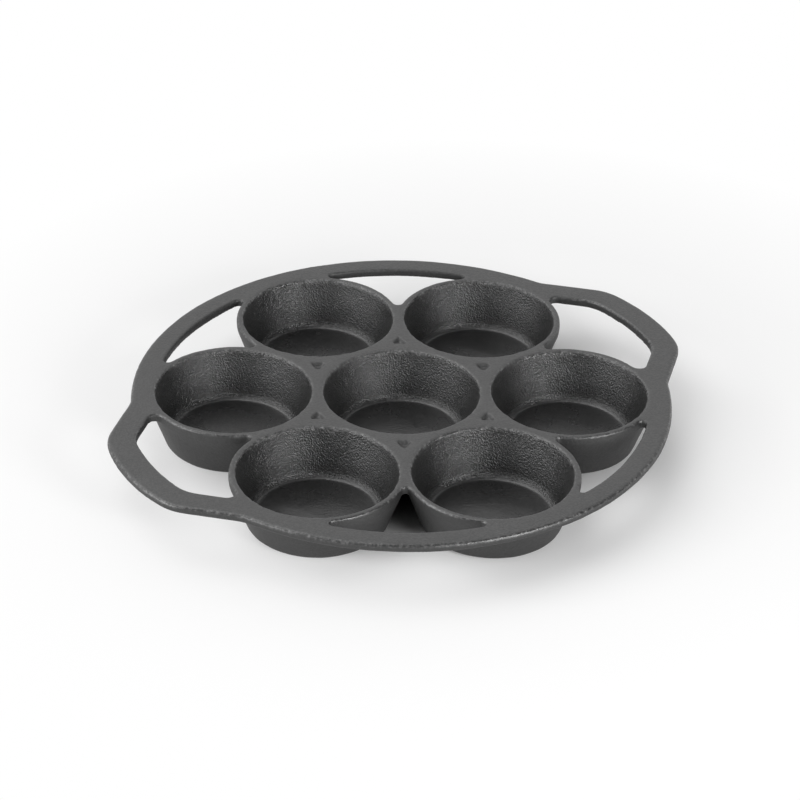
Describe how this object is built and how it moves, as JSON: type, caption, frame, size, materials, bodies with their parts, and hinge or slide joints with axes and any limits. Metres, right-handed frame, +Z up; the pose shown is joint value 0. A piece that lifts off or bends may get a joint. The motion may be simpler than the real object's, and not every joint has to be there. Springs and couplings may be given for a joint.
{
  "type": "biscuit pan",
  "caption": "Round cast iron biscuit pan with straight-sided cups in a ring around a middle cup, an open rim and two loop handles.",
  "frame": {"origin": "middle of the plane the cup bottoms stand on, under the middle cup", "axes": "+X towards one handle, +Y across the handles, +Z up out of the cups"},
  "size_m": [0.312, 0.275, 0.029],
  "materials": {
    "iron": "seasoned, matt, sand-cast texture"
  },
  "bodies": {
    "root": {"biscuit_pan": "iron"}
  },
  "joints": []
}
